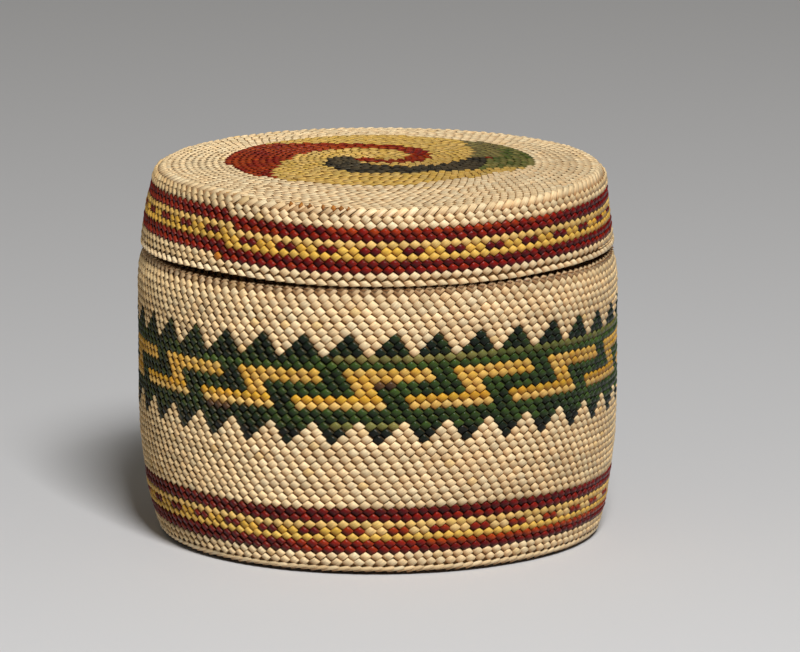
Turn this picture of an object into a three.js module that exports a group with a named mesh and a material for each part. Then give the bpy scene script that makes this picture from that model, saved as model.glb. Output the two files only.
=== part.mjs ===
import * as THREE from "three";

// A round trinket basket with a lid, in wrapped twining. Bark warps spread from a plaited start
// under the middle of the base, turn up at the heel and bend in at the shoulder to make a collar.
// Grass strands wrap them from outside in close courses, and the lid is made the same way.
// Millimetres, +Z up, with the origin on the floor under the middle of the base.

// Driving dimensions of the whole basket.
const bodyRadius = 44;
const heelTuck = 4.4;
const shoulderTuck = 0.7;
const bodyCourse = 1.234;
const lidCourse = 1.15;
const wrapThickness = 1;
const warpThickness = 0.6;
const ribDepth = 0.16;
const seatGap = 0.25;
const collarClearance = 0.4;

// Counts that the weaver keeps: warps round each wall, and facets round each plain course.
const bodyWarpCount = 140;
const lidWarpCount = 136;
const sides = 44;

const wholeTurn = Math.PI * 2;
const quarterTurn = Math.PI / 2;

const naturalGrass = { color: 0xd8bc8a, roughness: 0.55, metalness: 0 };
const redGrass = { color: 0x7a2417, roughness: 0.5, metalness: 0 };
const greenGrass = { color: 0x25351f, roughness: 0.5, metalness: 0 };
const yellowGrass = { color: 0xc79a45, roughness: 0.55, metalness: 0 };
const cedarBark = { color: 0x7d5230, roughness: 0.8, metalness: 0 };

// Reads a table of shares at a place between its stops.
function shareAt(stopShares, valueShares, share) {
  let after = 1;
  while (after < stopShares.length - 1 && share > stopShares[after]) {
    after += 1;
  }
  const span = stopShares[after] - stopShares[after - 1];
  const mix = (share - stopShares[after - 1]) / span;
  return THREE.MathUtils.lerp(valueShares[after - 1], valueShares[after], mix);
}

// Turns a section about the upright axis. It runs up the outside and down the inside.
function turned(section) {
  const points = section.map(([radius, height]) => new THREE.Vector2(radius, height));
  if (section[0][0] > 0) {
    points.push(points[0]);
  }
  const geometry = new THREE.LatheGeometry(points, sides);
  geometry.rotateX(quarterTurn);
  return geometry;
}

// One ring of points for a skinned shell: plain, ribbed by the warps, or a single pole.
function plainRing(radius, height) {
  return { count: sides, height, radiusAt: () => radius };
}

function ribbedRing(radius, height, ribCount) {
  return { count: ribCount * 2, height, radiusAt: (step) => radius - (step % 2) * ribDepth };
}

function poleRing(height) {
  return { count: 1, height, radiusAt: () => 0 };
}

// Skins a run of rings into one shell, joining rings of unlike counts step by step.
function skinned(rings, closesOnItself) {
  const positions = [];
  const starts = [];
  for (const ring of rings) {
    starts.push(positions.length / 3);
    for (let step = 0; step < ring.count; step += 1) {
      const turn = step * (1 / ring.count) * wholeTurn;
      const radius = ring.radiusAt(step);
      positions.push(radius * Math.sin(turn), ring.height, radius * Math.cos(turn));
    }
  }
  const triangles = [];
  const joins = closesOnItself ? rings.length : rings.length - 1;
  for (let join = 0; join < joins; join += 1) {
    const next = (join + 1) % rings.length;
    const [here, there] = [rings[join].count, rings[next].count];
    const a = (step) => starts[join] + (step % here);
    const b = (step) => starts[next] + (step % there);
    const hereSteps = here > 1 ? here : 0;
    const thereSteps = there > 1 ? there : 0;
    let i = 0;
    let j = 0;
    while (i < hereSteps || j < thereSteps) {
      if (j >= thereSteps || (i < hereSteps && (i + 1) / here <= (j + 1) / there)) {
        triangles.push(a(i), a(i + 1), b(j));
        i += 1;
      } else {
        triangles.push(a(i), b(j + 1), b(j));
        j += 1;
      }
    }
  }
  const geometry = new THREE.BufferGeometry();
  geometry.setAttribute("position", new THREE.Float32BufferAttribute(positions, 3));
  geometry.setIndex(triangles);
  geometry.rotateX(quarterTurn);
  geometry.computeVertexNormals();
  return geometry;
}

function addPiece(group, name, geometry, finish) {
  const mesh = new THREE.Mesh(geometry, new THREE.MeshStandardMaterial(finish));
  mesh.name = name;
  group.add(mesh);
}

// The bands of the body, counted in courses upward from the heel.
const bodyBands = [
  { name: "lower_natural_band", courses: 2, bends: 1, finish: naturalGrass },
  { name: "body_border_band", courses: 7, bends: 2, finish: redGrass },
  { name: "middle_natural_band", courses: 10, bends: 2, finish: naturalGrass },
  { name: "zigzag_band", courses: 16, bends: 1, finish: greenGrass },
  { name: "upper_natural_band", courses: 7, bends: 2, finish: naturalGrass },
];
const heelHeight = 1.73;
const bodyCourses = bodyBands.reduce((sum, band) => sum + band.courses, 0);
const shoulderHeight = heelHeight + bodyCourses * bodyCourse;

// The wall swells from the heel to the belly, then rolls in a little to the shoulder.
const wallHeightShares = [0, 0.03, 0.08, 0.16, 0.24, 0.34, 0.45, 0.9];
const wallTuckShares = [1, 0.84, 0.6, 0.41, 0.28, 0.11, 0.045, 0];
const rollHeightShares = [0.93, 0.97, 1];
const rollTuckShares = [0, 0.25, 1];

function bodyOuterRadius(height) {
  const share = height / shoulderHeight;
  const wallTuck = share > wallHeightShares.at(-1) ? 0 : shareAt(wallHeightShares, wallTuckShares, share);
  const rollTuck = share < rollHeightShares[0] ? 0 : shareAt(rollHeightShares, rollTuckShares, share);
  return bodyRadius - heelTuck * wallTuck - shoulderTuck * rollTuck;
}

// The grass lies on the warps along this line, which bends where one band meets the next.
const bandHeights = [heelHeight];
for (const band of bodyBands) {
  bandHeights.push(bandHeights.at(-1) + band.courses * bodyCourse);
}
const shoulderThickness = 1;
const shoulderUnderside = shoulderHeight - shoulderThickness;
const bandFootRadii = bandHeights.map((height) => bodyOuterRadius(height) - wrapThickness);

function bodyLayRadius(height) {
  return shareAt(bandHeights, bandFootRadii, height);
}

const body = new THREE.Group();

// The base is a plaited round start with twined rounds about it. It is drawn up a little in the
// middle, so that the basket stands on the outer rounds and on the heel.
const baseStartRadius = 10;
const baseFlatRadius = 30;
const baseRise = 0.6;
const heelWidth = 1.2;
const heelOuterRadius = bodyOuterRadius(0);
const heelInnerRadius = heelOuterRadius - heelWidth;

addPiece(body, "base_start", turned([
  [0, baseRise],
  [baseStartRadius, baseRise],
  [baseStartRadius, baseRise + wrapThickness + warpThickness],
  [0, baseRise + wrapThickness + warpThickness],
]), cedarBark);

addPiece(body, "base_rounds", turned([
  [baseStartRadius, baseRise],
  [baseFlatRadius, 0],
  [heelInnerRadius, 0],
  [heelInnerRadius, wrapThickness],
  [baseFlatRadius, wrapThickness],
  [baseStartRadius, baseRise + wrapThickness],
]), cedarBark);

// The heel is one heavier course of three strands, round the corner where the warps turn up.
const heelFlatShare = 0.5;
const heelCornerShare = 0.3;
addPiece(body, "heel_course", turned([
  [heelInnerRadius, 0],
  [heelInnerRadius + heelWidth * heelFlatShare, 0],
  [heelOuterRadius, heelHeight * heelCornerShare],
  [bodyOuterRadius(heelHeight), heelHeight],
  [heelInnerRadius, heelHeight],
]), naturalGrass);

// Each band is a shell of wrapped courses, standing on the one below it.
bodyBands.forEach((band, index) => {
  const [foot, top] = [bandHeights[index], bandHeights[index + 1]];
  const section = [];
  for (let bend = 0; bend <= band.bends; bend += 1) {
    const height = THREE.MathUtils.lerp(foot, top, bend / band.bends);
    section.push([bodyOuterRadius(height), height]);
  }
  section.push([bodyLayRadius(top), top]);
  if (top > shoulderUnderside) {
    section.push([bodyLayRadius(shoulderUnderside), shoulderUnderside]);
  }
  section.push([bodyLayRadius(foot), foot]);
  addPiece(body, band.name, turned(section), band.finish);
});

// The lid's own sizes, from its rim upward.
const lidSetback = 0.3;
const lidTaper = 2.1;
const lidRise = 2;
const lidBands = [
  { name: "lid_selvage", courses: 1, bends: 1, finish: naturalGrass },
  { name: "lid_lower_band", courses: 1, bends: 1, finish: naturalGrass },
  { name: "lid_border_band", courses: 7, bends: 2, finish: redGrass },
  { name: "lid_upper_band", courses: 2, bends: 1, finish: naturalGrass },
];
const lidCourses = lidBands.reduce((sum, band) => sum + band.courses, 0);
const lidWallHeight = lidCourses * lidCourse;
const lidRimHeight = shoulderHeight + seatGap;
const lidHeightShares = [0, 0.3, 0.6, 1];
const lidTaperShares = [0, 0.24, 0.5, 1];

function lidOuterRadius(height) {
  const share = height / lidWallHeight;
  return bodyRadius - lidSetback - lidTaper * shareAt(lidHeightShares, lidTaperShares, share);
}

const lidBandHeights = [0];
for (const band of lidBands) {
  lidBandHeights.push(lidBandHeights.at(-1) + band.courses * lidCourse);
}
const lidFootRadii = lidBandHeights.map((height) => lidOuterRadius(height) - wrapThickness);

function lidLayRadius(height) {
  return shareAt(lidBandHeights, lidFootRadii, height);
}

function lidInnerRadius(height) {
  return lidLayRadius(height) - warpThickness - ribDepth;
}

// The shoulder course turns the warps in under the lid's rim, and the collar stands on it inside
// the lid. The collar is plain twining, with its top edge bound over.
const collarThickness = 1.4;
const collarHeadroom = 1.6;
const bindingHeight = 0.8;
const bindingEdgeShare = 0.3;
const bindingTop = lidRimHeight + lidWallHeight - warpThickness - collarHeadroom;
const collarTop = bindingTop - bindingHeight;
const collarOuterRadius = lidInnerRadius(bindingTop - lidRimHeight) - collarClearance;
const collarInnerRadius = collarOuterRadius - collarThickness;
const bindingEdge = collarThickness * bindingEdgeShare;

addPiece(body, "shoulder_course", turned([
  [collarOuterRadius, shoulderUnderside],
  [bodyLayRadius(shoulderUnderside), shoulderUnderside],
  [bodyLayRadius(shoulderHeight), shoulderHeight],
  [collarOuterRadius, shoulderHeight],
]), naturalGrass);

addPiece(body, "collar", turned([
  [collarInnerRadius, shoulderUnderside],
  [collarOuterRadius, shoulderUnderside],
  [collarOuterRadius, collarTop],
  [collarInnerRadius, collarTop],
]), cedarBark);

addPiece(body, "collar_binding", turned([
  [collarInnerRadius, collarTop],
  [collarOuterRadius, collarTop],
  [collarOuterRadius, bindingTop - bindingEdge],
  [collarOuterRadius - bindingEdge, bindingTop],
  [collarInnerRadius + bindingEdge, bindingTop],
  [collarInnerRadius, bindingTop - bindingEdge],
]), naturalGrass);

// The warps line the base and the wall, side by side, and stand proud as ribs inside.
const cornerBend = 1.2;
const bellyHeightShare = 0.36;
const bellyHeight = shoulderHeight * bellyHeightShare;
const baseTop = wrapThickness + warpThickness;

function bodyLiningRing(height) {
  return ribbedRing(bodyLayRadius(height) - warpThickness, height, bodyWarpCount);
}

addPiece(body, "body_warps", skinned([
  plainRing(baseStartRadius, baseRise + wrapThickness),
  plainRing(baseFlatRadius, wrapThickness),
  plainRing(heelInnerRadius, wrapThickness),
  plainRing(heelInnerRadius, heelHeight),
  ...bandHeights.slice(0, -1).map((height) => plainRing(bodyLayRadius(height), height)),
  plainRing(bodyLayRadius(shoulderUnderside), shoulderUnderside),
  bodyLiningRing(shoulderUnderside),
  bodyLiningRing(bellyHeight),
  bodyLiningRing(baseTop + cornerBend),
  plainRing(heelInnerRadius - cornerBend, baseTop),
  plainRing(baseFlatRadius, baseTop),
  plainRing(baseStartRadius, baseRise + baseTop),
], true), cedarBark);

const lid = new THREE.Group();
lid.position.z = lidRimHeight;

lidBands.forEach((band, index) => {
  const [foot, top] = [lidBandHeights[index], lidBandHeights[index + 1]];
  const section = [];
  for (let bend = 0; bend <= band.bends; bend += 1) {
    const height = THREE.MathUtils.lerp(foot, top, bend / band.bends);
    section.push([lidOuterRadius(height), height]);
  }
  section.push([lidLayRadius(top), top], [lidLayRadius(foot), foot]);
  addPiece(lid, band.name, turned(section), band.finish);
});

// The corner course lies on the wall's top edge, round the lid's top: three strands twined, so
// that each stitch leans across the ridge.
const cornerHalfWidth = 0.95;
const cornerHalfHeight = 0.85;
const cornerGap = 0.1;
const cornerInset = 0.6;
const cornerValleyShare = 0.78;
const cornerLeanShare = 0.5;
const cornerSectionShares = [0.25, 0.45, 0.65, 0.85, 1.05];
const cornerRadius = lidOuterRadius(lidWallHeight) - cornerInset;
const cornerHeight = lidWallHeight + cornerGap + cornerHalfHeight;

function cornerCourse() {
  const steps = lidWarpCount * 2;
  const points = cornerSectionShares.length;
  const positions = [];
  const triangles = [];
  for (let step = 0; step < steps; step += 1) {
    const swell = step % 2 === 0 ? 1 : cornerValleyShare;
    for (let point = 0; point < points; point += 1) {
      const around = cornerSectionShares[point] * wholeTurn;
      const turn = (step + Math.sin(around) * cornerLeanShare * 2) * (wholeTurn / steps);
      const radius = cornerRadius + Math.cos(around) * cornerHalfWidth * swell;
      const height = cornerHeight + Math.sin(around) * cornerHalfHeight * swell;
      positions.push(radius * Math.cos(turn), radius * Math.sin(turn), height);
      const nextStep = ((step + 1) % steps) * points;
      const nextPoint = (point + 1) % points;
      const here = step * points;
      triangles.push(here + point, nextStep + point, here + nextPoint);
      triangles.push(nextStep + point, nextStep + nextPoint, here + nextPoint);
    }
  }
  const geometry = new THREE.BufferGeometry();
  geometry.setAttribute("position", new THREE.Float32BufferAttribute(positions, 3));
  geometry.setIndex(triangles);
  geometry.computeVertexNormals();
  return geometry;
}

addPiece(lid, "lid_corner_course", cornerCourse(), naturalGrass);

// The lid's top is a low dome, flat in the middle and rolling down to the corner course.
const lidStartRadius = 5;
const whirlRadius = 28;
const topRimRadius = cornerRadius - cornerHalfWidth - cornerGap;
const domePower = 2.5;
const whirlBendRadius = (lidStartRadius + whirlRadius) / 2;
const borderBendRadius = (whirlRadius + topRimRadius) / 2;

function domeUnderside(radius) {
  return lidWallHeight + lidRise * (1 - (radius / topRimRadius) ** domePower);
}

function topRound(radii) {
  const under = radii.map((radius) => [radius, domeUnderside(radius)]);
  const over = radii.map((radius) => [radius, domeUnderside(radius) + wrapThickness]);
  return turned([...under, ...over.reverse()]);
}

addPiece(lid, "lid_start", topRound([0, lidStartRadius]), yellowGrass);
addPiece(lid, "lid_whirl_rounds", topRound([lidStartRadius, whirlBendRadius, whirlRadius]), yellowGrass);
addPiece(lid, "lid_natural_rounds", topRound([whirlRadius, borderBendRadius, topRimRadius]), naturalGrass);

// The lid's warps run out from its start, over the corner and down to the rim.
const domeRadii = [topRimRadius, borderBendRadius, whirlRadius, whirlBendRadius, lidStartRadius];

function lidLiningRing(height) {
  return ribbedRing(lidLayRadius(height) - warpThickness, height, lidWarpCount);
}

addPiece(lid, "lid_warps", skinned([
  poleRing(domeUnderside(0) - warpThickness),
  plainRing(whirlBendRadius, domeUnderside(whirlBendRadius) - warpThickness),
  plainRing(borderBendRadius, domeUnderside(borderBendRadius) - warpThickness),
  plainRing(topRimRadius - warpThickness - cornerBend, lidWallHeight - warpThickness),
  lidLiningRing(lidWallHeight - warpThickness - cornerBend),
  lidLiningRing(0),
  ...lidBandHeights.map((height) => plainRing(lidLayRadius(height), height)),
  ...domeRadii.map((radius) => plainRing(radius, domeUnderside(radius))),
  poleRing(domeUnderside(0)),
], false), cedarBark);

const basket = new THREE.Group();
basket.add(body, lid);

export default basket;
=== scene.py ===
import math
import random

import bpy
import numpy
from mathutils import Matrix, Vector, noise
from mathutils.bvhtree import BVHTree


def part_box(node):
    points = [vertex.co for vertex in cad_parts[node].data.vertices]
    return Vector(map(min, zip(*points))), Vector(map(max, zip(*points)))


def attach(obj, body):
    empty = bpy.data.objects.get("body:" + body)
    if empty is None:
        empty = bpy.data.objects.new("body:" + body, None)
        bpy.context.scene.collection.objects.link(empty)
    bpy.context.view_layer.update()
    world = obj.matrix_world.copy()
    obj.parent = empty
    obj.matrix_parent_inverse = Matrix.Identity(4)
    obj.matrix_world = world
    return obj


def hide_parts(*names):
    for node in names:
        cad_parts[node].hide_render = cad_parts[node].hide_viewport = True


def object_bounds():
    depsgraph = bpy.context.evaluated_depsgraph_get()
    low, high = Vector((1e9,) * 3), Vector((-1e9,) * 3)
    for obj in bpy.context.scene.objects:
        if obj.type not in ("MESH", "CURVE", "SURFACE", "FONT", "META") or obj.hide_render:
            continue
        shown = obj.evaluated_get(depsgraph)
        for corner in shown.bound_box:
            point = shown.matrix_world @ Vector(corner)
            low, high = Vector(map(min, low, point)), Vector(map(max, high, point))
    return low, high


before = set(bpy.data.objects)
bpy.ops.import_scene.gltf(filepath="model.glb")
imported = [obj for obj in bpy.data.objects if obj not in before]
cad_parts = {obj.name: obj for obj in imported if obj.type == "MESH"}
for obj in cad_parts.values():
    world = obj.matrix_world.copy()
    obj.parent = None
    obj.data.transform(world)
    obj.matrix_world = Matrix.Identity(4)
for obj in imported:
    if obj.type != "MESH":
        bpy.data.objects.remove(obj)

cad_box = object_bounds()

# The view. A long lens stands well back from the basket, a little above its lid.
view_distance = 1.5
view_rise = math.radians(11.6)
view_target = Vector((0.00415, 0, 0.03783))
view_lens = 365.6
view_sensor = 36

camera_data = bpy.data.cameras.new("camera")
camera_data.lens = view_lens
camera_data.sensor_width = view_sensor
camera = bpy.data.objects.new("camera", camera_data)
bpy.context.scene.collection.objects.link(camera)
toward_camera = Vector((0, -math.cos(view_rise), math.sin(view_rise)))
camera.location = view_target + toward_camera * view_distance
camera.rotation_euler = (math.pi / 2 - view_rise, 0, 0)
bpy.context.scene.camera = camera
bpy.context.scene.view_settings.view_transform = "Standard"

# The floor and the light. A pale sheet of paper lies under a soft lamp high up in front and a
# little to the right, a weak one fills in from the left, and the room adds an even light.
floor_reach = 3
floor_colour = (0.7, 0.7, 0.71, 1)
floor_grain = 900
floor_bump = 0.1
floor_bump_height = 0.0002
floor_roughness = 0.9
room_light = 0.11
room_colour = (1, 0.94, 0.82, 1)


def lamp(name, place, aim, size, watts):
    """A square soft lamp that faces a point."""
    data = bpy.data.lights.new(name, "AREA")
    data.size = size
    data.energy = watts
    light = bpy.data.objects.new(name, data)
    light.location = place
    light.rotation_euler = (Vector(aim) - Vector(place)).to_track_quat("-Z", "Y").to_euler()
    bpy.context.scene.collection.objects.link(light)


# How far apart the nodes of a tree stand in their row.
node_step = 180


def fill(tree, made, inputs):
    """Fills a node's inputs, each with a value or with a link from an output."""
    for key, value in inputs.items():
        if isinstance(value, bpy.types.NodeSocket):
            tree.links.new(value, made.inputs[key])
        else:
            made.inputs[key].default_value = value


def node(tree, kind, inputs=None, **settings):
    """Adds a node at the end of the row, sets what it is told, and fills its inputs."""
    made = tree.nodes.new(kind)
    made.location = (len(tree.nodes) * node_step, 0)
    for key, value in settings.items():
        setattr(made, key, value)
    fill(tree, made, inputs or {})
    return made


def new_material(name):
    """A material with nothing in it but a Principled shader: it, its tree and the shader."""
    material = bpy.data.materials.new(name)
    material.use_nodes = True
    tree = material.node_tree
    return material, tree, tree.nodes["Principled BSDF"]


basket_middle = (cad_box[0] + cad_box[1]) / 2
lamp("key_lamp", place=(0.2, -0.9, 1), aim=basket_middle, size=0.35, watts=17.6)
lamp("side_lamp", place=(-0.9, -0.6, 0.5), aim=basket_middle, size=0.5, watts=0.2)

world = bpy.data.worlds.new("room")
bpy.context.scene.world = world
world.use_nodes = True
fill(world.node_tree, world.node_tree.nodes["Background"], {
    "Color": room_colour, "Strength": room_light})

floor_mesh = bpy.data.meshes.new("floor")
floor_mesh.from_pydata(
    [(x * floor_reach, y * floor_reach, 0) for x, y in ((-1, -1), (1, -1), (1, 1), (-1, 1))],
    [], [(0, 1, 2, 3)])
floor = bpy.data.objects.new("floor", floor_mesh)
bpy.context.scene.collection.objects.link(floor)
paper, paper_tree, paper_shader = new_material("floor_paper")
paper_place = node(paper_tree, "ShaderNodeTexCoord")
paper_noise = node(paper_tree, "ShaderNodeTexNoise", {
    "Vector": paper_place.outputs["Object"], "Scale": floor_grain})
paper_bump = node(paper_tree, "ShaderNodeBump", {
    "Strength": floor_bump, "Distance": floor_bump_height, "Height": paper_noise.outputs["Fac"]})
fill(paper_tree, paper_shader, {
    "Base Color": floor_colour, "Roughness": floor_roughness,
    "Normal": paper_bump.outputs["Normal"]})
floor_mesh.materials.append(paper)

# The grass. Split strands of bleached or dyed grass wrap every crossing of the weave. They are
# glossy, with fine fibres along the strand, and each strand has a tone of its own.
millimetre = 0.001
whole_turn = 2 * math.pi


def from_screen(red, green, blue):
    """A colour as it is seen on a screen, 0 to 255, as light."""
    def light(value):
        share = value / 255
        return share / 12.92 if share < 0.04045 else ((share + 0.055) / 1.055) ** 2.4
    return Vector((light(red), light(green), light(blue)))


dyes = {name: from_screen(*colour) for name, colour in {
    "natural": (238, 208, 160), "cream": (248, 224, 180), "straw": (232, 194, 118),
    "yellow": (226, 184, 88), "gold": (212, 162, 50), "amber": (206, 130, 40),
    "maroon": (88, 6, 10), "red": (130, 18, 6), "brick": (160, 56, 8), "green": (20, 34, 20),
    "leaf": (60, 84, 30), "olive": (144, 132, 74), "slate": (80, 70, 50), "black": (24, 24, 22),
    "bark": (142, 98, 56), "old_bark": (104, 70, 42),
}.items()}
# Dust and painted shade at the end of a strand that comes up out of the weave, and a deeper painted
# shade there on a dark dye.
dust_and_shade_colour = from_screen(150, 108, 66)
painted_deep_shade = (0.22, 0.16, 0.16, 1)
# A painted highlight, added along the fold where a strand turns in.
painted_fold_highlight = (0.12, 0.07, 0.03, 1)
# Where along a strand the dust with its painted shade and the fold's painted highlight begin and
# are full, and the same for how dark a dye is, which takes a deeper painted shade, and for how
# light a fibre is.
dust_and_shade_run = (0.7, 0)
highlight_run = (0.82, 0.93)
darkness = (0.12, 0.03)
fibre_range = (0.3, 0.7)
fibre_shift = 173
fibre_bump = 0.35
fibre_height = 0.06 * millimetre
strand_sheen = 0.2
# How far the tone and the warmth of a stitch stray, how far a length of grass may be from the
# middle tone, and how far its stitches stray from its own.
stray_tone = 0.06
stray_warmth = 0.04
run_tone = 0.8
stray_in_run = 0.35


def sockets(tree, way, kind, *names):
    """Gives a tree inputs or outputs of one kind."""
    for name in names:
        tree.interface.new_socket(name, in_out=way, socket_type="NodeSocket" + kind)


def strand_group():
    """Fibres along a strand: colour, roughness and height from its dye, its tone and its run. The
    end that comes up out of the weave holds old dust and painted shade, and is darker and browner,
    with a deeper painted shade on a dark dye. Along the fold at the other end a pale painted
    highlight is added."""
    group = bpy.data.node_groups.new("strand fibres", "ShaderNodeTree")
    sockets(group, "INPUT", "Color", "Dye", "Dust and shade")
    sockets(group, "INPUT", "Float", "Tone", "Fibres across", "Fibre contrast", "Smoothest",
            "Roughest", "Shaded dusty end", "Fold highlight")
    sockets(group, "OUTPUT", "Color", "Color")
    sockets(group, "OUTPUT", "Float", "Roughness", "Height")
    given = node(group, "NodeGroupInput").outputs

    def maths(operation, *values):
        inputs = dict(enumerate(values))
        return node(group, "ShaderNodeMath", inputs, operation=operation).outputs[0]

    def passed(value, stretch, way="LINEAR"):
        """How much of a stretch a value has passed."""
        return node(group, "ShaderNodeMapRange", {
            "Value": value, "From Min": stretch[0], "From Max": stretch[1]},
            interpolation_type=way).outputs["Result"]

    def laid_over(blend_type, amount, under, over):
        return node(group, "ShaderNodeMix", {"Factor": amount, "A": under, "B": over},
                    data_type="RGBA", blend_type=blend_type).outputs["Result"]

    run = node(group, "ShaderNodeUVMap", uv_map="strand")
    along, across, _ = node(group, "ShaderNodeSeparateXYZ", {0: run.outputs["UV"]}).outputs
    place = node(group, "ShaderNodeCombineXYZ", {
        "X": along, "Y": maths("MULTIPLY", across, given["Fibres across"]),
        "Z": maths("MULTIPLY", given["Tone"], fibre_shift)})
    fibres = node(group, "ShaderNodeTexNoise", {
        "Vector": place.outputs[0], "Scale": 1, "Detail": 3})
    fibre = fibres.outputs["Fac"]
    swing = maths("MULTIPLY_ADD", passed(fibre, fibre_range), given["Fibre contrast"], 1)
    level = maths("SUBTRACT", swing, maths("MULTIPLY", given["Fibre contrast"], 0.5))
    shade = node(group, "ShaderNodeVectorMath", {0: given["Dye"], "Scale": level},
                 operation="SCALE")

    # Dust and painted shade toward the end that comes up out of the weave.
    dust_and_shade_amount = maths("MULTIPLY", passed(along, dust_and_shade_run, "SMOOTHSTEP"), given["Shaded dusty end"])
    dusted_and_shaded = laid_over("MULTIPLY", dust_and_shade_amount, shade.outputs[0], given["Dust and shade"])
    parts = node(group, "ShaderNodeSeparateColor", {0: given["Dye"]})
    # A deeper painted shade at that end on dark dyes.
    sunk = maths("MULTIPLY", dust_and_shade_amount, passed(parts.outputs["Green"], darkness))
    deep_shaded = laid_over("MULTIPLY", sunk, dusted_and_shaded, painted_deep_shade)
    # Painted highlight along the fold.
    highlight_amount = maths("MULTIPLY", passed(along, highlight_run, "SMOOTHSTEP"), given["Fold highlight"])
    gloss = node(group, "ShaderNodeMapRange", {
        "Value": fibre, "To Min": given["Smoothest"], "To Max": given["Roughest"]})
    node(group, "NodeGroupOutput", {
        "Color": laid_over("ADD", highlight_amount, deep_shaded, painted_fold_highlight),
        "Roughness": gloss.outputs["Result"], "Height": fibre})
    return group


strand_fibres = strand_group()


def strand_material(name, fibres_across, contrast, smoothest, roughest, dust_and_shade_end=0.0,
                    highlight_strength=0.0):
    """A strand's finish. Its dye and tone are written on the mesh, stitch by stitch."""
    material, tree, shader = new_material(name)
    dye = node(tree, "ShaderNodeAttribute", attribute_name="dye")
    tone = node(tree, "ShaderNodeAttribute", attribute_name="tone")
    fibres = node(tree, "ShaderNodeGroup", {
        "Dye": dye.outputs["Color"], "Dust and shade": (*dust_and_shade_colour, 1), "Tone": tone.outputs["Fac"],
        "Fibres across": fibres_across, "Fibre contrast": contrast, "Smoothest": smoothest,
        "Roughest": roughest, "Shaded dusty end": dust_and_shade_end, "Fold highlight": highlight_strength},
        node_tree=strand_fibres)
    bump = node(tree, "ShaderNodeBump", {
        "Strength": fibre_bump, "Distance": fibre_height, "Height": fibres.outputs["Height"]})
    fill(tree, shader, {
        "Base Color": fibres.outputs["Color"], "Roughness": fibres.outputs["Roughness"],
        "Normal": bump.outputs["Normal"], "Specular IOR Level": strand_sheen})
    return material


# Each strand's end is darkened with dust and painted shade, and its fold gets a painted highlight.
grass = strand_material("wrapping_grass", fibres_across=7, contrast=0.34, smoothest=0.2,
                        roughest=0.46, dust_and_shade_end=0.82, highlight_strength=0.3)


# How high a strand stands along its run, from where it comes up to where it turns in, and across.
# One that is turned round an edge keeps a core.
rise_along = ((-1, 0.1), (-0.78, 0.36), (-0.25, 0.62), (0.28, 0.93), (0.6, 1), (0.86, 0.76),
              (1, 0.3))
crown_across = ((-1, 0.4), (-0.82, 0.9), (0, 1), (0.82, 0.9), (1, 0.4))
core_share = 0.55


def strand_form(name, corners, rounding=0.14, turned_round=False, along=rise_along,
                across=crown_across):
    """The length of a strand that shows in one stitch, as a closed form. Its corners are those of
    the end that comes up, low left and low right, and then of the other end. They are in stitches
    across and courses up, or, where the strand is turned round an edge, in degrees round it."""
    (start_left, start_right), (end_left, end_right) = corners
    vertices = []
    places = []
    for run, height in along:
        for side, crown in across:
            s = run * math.sqrt(1 - rounding * side * side / 2)
            t = side * math.sqrt(1 - rounding * run * run / 2)
            near, far = (1 - s) / 2, (1 + s) / 2
            left, right = (1 - t) / 2, (1 + t) / 2
            x, y = [near * (left * start_left[i] + right * start_right[i])
                    + far * (left * end_left[i] + right * end_right[i]) for i in (0, 1)]
            if turned_round:
                reach = core_share + (1 - core_share) * height * crown
                angle = math.radians(y)
                vertices.append((x, reach * math.sin(angle), reach * math.cos(angle)))
            else:
                vertices.append((x, y, height * crown))
            places.append(((run + 1) / 2, (side + 1) / 2))
    width = len(across)
    faces = []
    for step in range(len(along) - 1):
        row = step * width
        for column in range(width - 1):
            a = row + column
            faces.append((a, a + 1, a + width + 1, a + width))
        faces.append((row, row + width, row + 2 * width - 1, row + width - 1))
    last = (len(along) - 1) * width
    faces.append(tuple(range(width))[::-1])
    faces.append(tuple(range(last, last + width)))
    mesh = bpy.data.meshes.new(name)
    mesh.from_pydata(vertices, [], faces, shade_flat=False)
    layer = mesh.uv_layers.new(name="strand")
    for loop in mesh.loops:
        layer.data[loop.index].uv = places[loop.vertex_index]
    if sum(face.center.dot(face.normal) * face.area for face in mesh.polygons) < 0:
        mesh.flip_normals()
    return bpy.data.objects.new(name, mesh)


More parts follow.
